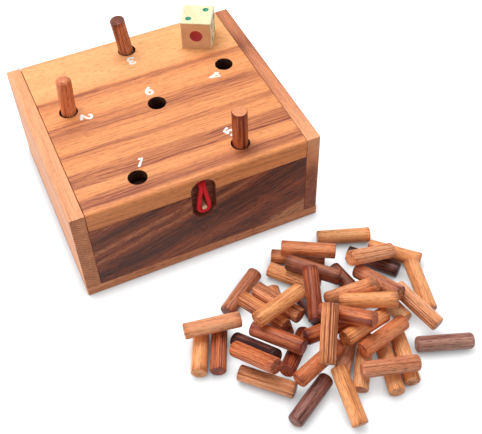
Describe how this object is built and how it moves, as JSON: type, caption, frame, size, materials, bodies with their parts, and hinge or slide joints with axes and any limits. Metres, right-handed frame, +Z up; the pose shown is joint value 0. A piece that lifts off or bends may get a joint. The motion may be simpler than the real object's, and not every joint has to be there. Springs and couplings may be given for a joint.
{
  "type": "wooden dice game",
  "caption": "Hinged wooden box whose lid has numbered peg holes and one through hole, with loose wooden pegs, a die and an elastic loop latch",
  "frame": {"origin": "the middle of the flat underside of the box; the heap of loose pegs lies on the same plane in front of the box", "axes": "+Z up, -Y the front with the elastic latch, +X to the right seen from the front"},
  "size_m": [0.1832, 0.2671, 0.0894],
  "materials": {
    "bottom_wood": "satin",
    "side_wood": "satin",
    "wall_wood": "satin",
    "lid_wood": "satin",
    "die_wood": "satin",
    "pale_wood": "oiled, fine reeding",
    "honey_wood": "oiled, fine reeding",
    "tan_wood": "oiled, fine reeding",
    "orange_wood": "oiled, fine reeding",
    "brown_wood": "oiled, fine reeding",
    "russet_wood": "oiled, fine reeding",
    "plum_wood": "oiled, fine reeding",
    "dark_wood": "oiled, fine reeding",
    "steel": "drawn wire",
    "red_elastic": "woven cover over rubber"
  },
  "bodies": {
    "box": {"bottom_board": "bottom_wood", "left_side": "side_wood", "right_side": "side_wood", "front_wall": "wall_wood", "rear_wall": "wall_wood", "hinge_pin_left": "steel", "hinge_pin_right": "steel", "latch_peg": "pale_wood"},
    "lid": {"lid": "lid_wood"},
    "elastic": {"elastic_loop": "red_elastic"},
    "die": {"die": "die_wood"},
    "peg_2": {"peg_in_hole_2": "honey_wood"},
    "peg_3": {"peg_in_hole_3": "orange_wood"},
    "peg_5": {"peg_in_hole_5": "brown_wood"},
    "loose_01": {"heap_peg_01": "orange_wood"},
    "loose_02": {"heap_peg_02": "russet_wood"},
    "loose_03": {"heap_peg_03": "russet_wood"},
    "loose_04": {"heap_peg_04": "tan_wood"},
    "loose_05": {"heap_peg_05": "russet_wood"},
    "loose_06": {"heap_peg_06": "plum_wood"},
    "loose_07": {"heap_peg_07": "russet_wood"},
    "loose_08": {"heap_peg_08": "brown_wood"},
    "loose_09": {"heap_peg_09": "honey_wood"},
    "loose_10": {"heap_peg_10": "dark_wood"},
    "loose_11": {"heap_peg_11": "tan_wood"},
    "loose_12": {"heap_peg_12": "honey_wood"},
    "loose_13": {"heap_peg_13": "brown_wood"},
    "loose_14": {"heap_peg_14": "brown_wood"},
    "loose_15": {"heap_peg_15": "brown_wood"},
    "loose_16": {"heap_peg_16": "dark_wood"},
    "loose_17": {"heap_peg_17": "brown_wood"},
    "loose_18": {"heap_peg_18": "plum_wood"},
    "loose_19": {"heap_peg_19": "brown_wood"},
    "loose_20": {"heap_peg_20": "honey_wood"},
    "loose_21": {"heap_peg_21": "russet_wood"},
    "loose_22": {"heap_peg_22": "pale_wood"},
    "loose_23": {"heap_peg_23": "plum_wood"},
    "loose_24": {"heap_peg_24": "brown_wood"},
    "loose_25": {"heap_peg_25": "brown_wood"},
    "loose_26": {"heap_peg_26": "brown_wood"},
    "loose_27": {"heap_peg_27": "orange_wood"},
    "loose_28": {"heap_peg_28": "orange_wood"},
    "loose_29": {"heap_peg_29": "honey_wood"},
    "loose_30": {"heap_peg_30": "honey_wood"},
    "loose_31": {"heap_peg_31": "tan_wood"},
    "loose_32": {"heap_peg_32": "honey_wood"},
    "loose_33": {"heap_peg_33": "plum_wood"},
    "loose_34": {"heap_peg_34": "tan_wood"},
    "loose_35": {"heap_peg_35": "orange_wood"},
    "loose_36": {"heap_peg_36": "orange_wood"},
    "loose_37": {"heap_peg_37": "tan_wood"},
    "loose_38": {"heap_peg_38": "pale_wood"},
    "loose_39": {"heap_peg_39": "brown_wood"},
    "loose_40": {"heap_peg_40": "brown_wood"},
    "loose_41": {"heap_peg_41": "tan_wood"},
    "loose_42": {"heap_peg_42": "honey_wood"},
    "loose_43": {"heap_peg_43": "honey_wood"},
    "loose_44": {"heap_peg_44": "brown_wood"}
  },
  "joints": [
    {"name": "lid_hinge", "type": "hinge", "parent": "box", "child": "lid", "pos_m": [0, 0.0595, 0.05875], "axis": [-1, 0, 0], "range_deg": [0, 98], "deforming": ["elastic_loop"]},
    {"name": "elastic_swing", "type": "hinge", "parent": "lid", "child": "elastic", "pos_m": [0.0013, -0.06, 0.0578], "axis": [-1, 0, 0], "range_deg": [0, 80], "deforming": ["elastic_loop"]},
    {"name": "die_lift", "type": "slide", "parent": "lid", "child": "die", "axis": [0, 0, 1], "range_m": [0, 0.03]},
    {"name": "peg_2_pull", "type": "slide", "parent": "lid", "child": "peg_2", "axis": [0.0474, 0.0221, 0.9986], "range_m": [0, 0.03]},
    {"name": "peg_3_pull", "type": "slide", "parent": "lid", "child": "peg_3", "axis": [-0.1128, -0.0099, 0.9936], "range_m": [0, 0.03]},
    {"name": "peg_5_pull", "type": "slide", "parent": "lid", "child": "peg_5", "axis": [0, 0, 1], "range_m": [0, 0.03]},
    {"name": "loose_01_take", "type": "slide", "parent": "loose_05", "child": "loose_01", "axis": [0.342, 0.9397, 0], "range_m": [0, 0.036]},
    {"name": "loose_02_take", "type": "slide", "parent": "loose_05", "child": "loose_02", "axis": [-0.4226, -0.9063, 0], "range_m": [0, 0.036]},
    {"name": "loose_03_take", "type": "slide", "parent": "loose_08", "child": "loose_03", "axis": [0.1228, 0.6964, 0.7071], "range_m": [0, 0.024]},
    {"name": "loose_04_take", "type": "slide", "parent": "loose_28", "child": "loose_04", "axis": [-0.6964, 0.1228, 0.7071], "range_m": [0, 0.036]},
    {"name": "loose_05_take", "type": "slide", "parent": "box", "child": "loose_05", "axis": [-0.4545, 0.5417, 0.7071], "range_m": [0, 0.018]},
    {"name": "loose_06_take", "type": "slide", "parent": "box", "child": "loose_06", "axis": [-0.4545, -0.5417, 0.7071], "range_m": [0, 0.036]},
    {"name": "loose_07_take", "type": "slide", "parent": "loose_13", "child": "loose_07", "axis": [-0.342, 0.9397, 0], "range_m": [0, 0.009]},
    {"name": "loose_08_take", "type": "slide", "parent": "box", "child": "loose_08", "axis": [-0.6428, 0.766, 0], "range_m": [0, 0.01]},
    {"name": "loose_09_take", "type": "slide", "parent": "loose_13", "child": "loose_09", "axis": [0, 0, 1], "range_m": [0, 0.036]},
    {"name": "loose_10_take", "type": "slide", "parent": "box", "child": "loose_10", "axis": [-0.1294, 0.2241, 0.9659], "range_m": [0, 0.036]},
    {"name": "loose_11_take", "type": "slide", "parent": "box", "child": "loose_11", "axis": [0.7071, 0, 0.7071], "range_m": [0, 0.036]},
    {"name": "loose_12_take", "type": "slide", "parent": "box", "child": "loose_12", "axis": [0.5, 0, 0.866], "range_m": [0, 0.036]},
    {"name": "loose_13_take", "type": "slide", "parent": "box", "child": "loose_13", "axis": [-0.1736, 0.9848, 0], "range_m": [0, 0.009]},
    {"name": "loose_14_take", "type": "slide", "parent": "box", "child": "loose_14", "axis": [0.2588, 0, 0.9659], "range_m": [0, 0.036]},
    {"name": "loose_15_take", "type": "slide", "parent": "loose_05", "child": "loose_15", "axis": [0, 0, 1], "range_m": [0, 0.036]},
    {"name": "loose_16_take", "type": "slide", "parent": "box", "child": "loose_16", "axis": [0.6634, -0.5567, 0.5], "range_m": [0, 0.036]},
    {"name": "loose_17_take", "type": "slide", "parent": "loose_16", "child": "loose_17", "axis": [0.5, 0, 0.866], "range_m": [0, 0.036]},
    {"name": "loose_18_take", "type": "slide", "parent": "box", "child": "loose_18", "axis": [0, 0, 1], "range_m": [0, 0.036]},
    {"name": "loose_19_take", "type": "slide", "parent": "box", "child": "loose_19", "axis": [-0.2588, -0.9659, 0], "range_m": [0, 0.036]},
    {"name": "loose_20_take", "type": "slide", "parent": "box", "child": "loose_20", "axis": [-0.5, -0.866, 0], "range_m": [0, 0.036]},
    {"name": "loose_21_take", "type": "slide", "parent": "box", "child": "loose_21", "axis": [-0.342, -0.9397, 0], "range_m": [0, 0.036]},
    {"name": "loose_22_take", "type": "slide", "parent": "loose_21", "child": "loose_22", "axis": [-0.7198, -0.604, 0.342], "range_m": [0, 0.036]},
    {"name": "loose_23_take", "type": "slide", "parent": "loose_05", "child": "loose_23", "axis": [-0.4698, -0.171, 0.866], "range_m": [0, 0.036]},
    {"name": "loose_24_take", "type": "slide", "parent": "loose_23", "child": "loose_24", "axis": [0, 0, 1], "range_m": [0, 0.036]},
    {"name": "loose_25_take", "type": "slide", "parent": "loose_26", "child": "loose_25", "axis": [0, 0, 1], "range_m": [0, 0.036]},
    {"name": "loose_26_take", "type": "slide", "parent": "loose_36", "child": "loose_26", "axis": [0, 0, 1], "range_m": [0, 0.036]},
    {"name": "loose_27_take", "type": "slide", "parent": "loose_14", "child": "loose_27", "axis": [0.2588, 0, 0.9659], "range_m": [0, 0.036]},
    {"name": "loose_28_take", "type": "slide", "parent": "box", "child": "loose_28", "axis": [-0.9391, -0.3418, 0.0349], "range_m": [0, 0.036]},
    {"name": "loose_29_take", "type": "slide", "parent": "loose_27", "child": "loose_29", "axis": [-0.9448, -0.2532, 0.2079], "range_m": [0, 0.036]},
    {"name": "loose_30_take", "type": "slide", "parent": "loose_22", "child": "loose_30", "axis": [-0.3214, -0.383, 0.866], "range_m": [0, 0.036]},
    {"name": "loose_31_take", "type": "slide", "parent": "box", "child": "loose_31", "axis": [0.3319, -0.9118, 0.2419], "range_m": [0, 0.036]},
    {"name": "loose_32_take", "type": "slide", "parent": "loose_33", "child": "loose_32", "axis": [0, 0, 1], "range_m": [0, 0.036]},
    {"name": "loose_33_take", "type": "slide", "parent": "box", "child": "loose_33", "axis": [0.2418, 0.6645, 0.7071], "range_m": [0, 0.03]},
    {"name": "loose_34_take", "type": "slide", "parent": "box", "child": "loose_34", "axis": [0.2588, 0, 0.9659], "range_m": [0, 0.036]},
    {"name": "loose_35_take", "type": "slide", "parent": "loose_27", "child": "loose_35", "axis": [0.6634, 0.5567, 0.5], "range_m": [0, 0.036]},
    {"name": "loose_36_take", "type": "slide", "parent": "loose_15", "child": "loose_36", "axis": [0, 0, 1], "range_m": [0, 0.036]},
    {"name": "loose_37_take", "type": "slide", "parent": "loose_27", "child": "loose_37", "axis": [0, 0, 1], "range_m": [0, 0.036]},
    {"name": "loose_38_take", "type": "slide", "parent": "loose_35", "child": "loose_38", "axis": [0.866, 0, 0.5], "range_m": [0, 0.036]},
    {"name": "loose_39_take", "type": "slide", "parent": "loose_10", "child": "loose_39", "axis": [0, 0, 1], "range_m": [0, 0.036]},
    {"name": "loose_40_take", "type": "slide", "parent": "loose_22", "child": "loose_40", "axis": [0, 0, 1], "range_m": [0, 0.022]},
    {"name": "loose_41_take", "type": "slide", "parent": "loose_22", "child": "loose_41", "axis": [0.0868, -0.4924, 0.866], "range_m": [0, 0.018]},
    {"name": "loose_42_take", "type": "slide", "parent": "loose_05", "child": "loose_42", "axis": [0, 0, 1], "range_m": [0, 0.036]},
    {"name": "loose_43_take", "type": "slide", "parent": "loose_25", "child": "loose_43", "axis": [0, 0, 1], "range_m": [0, 0.036]},
    {"name": "loose_44_take", "type": "slide", "parent": "loose_29", "child": "loose_44", "axis": [0, 0, 1], "range_m": [0, 0.036]}
  ]
}
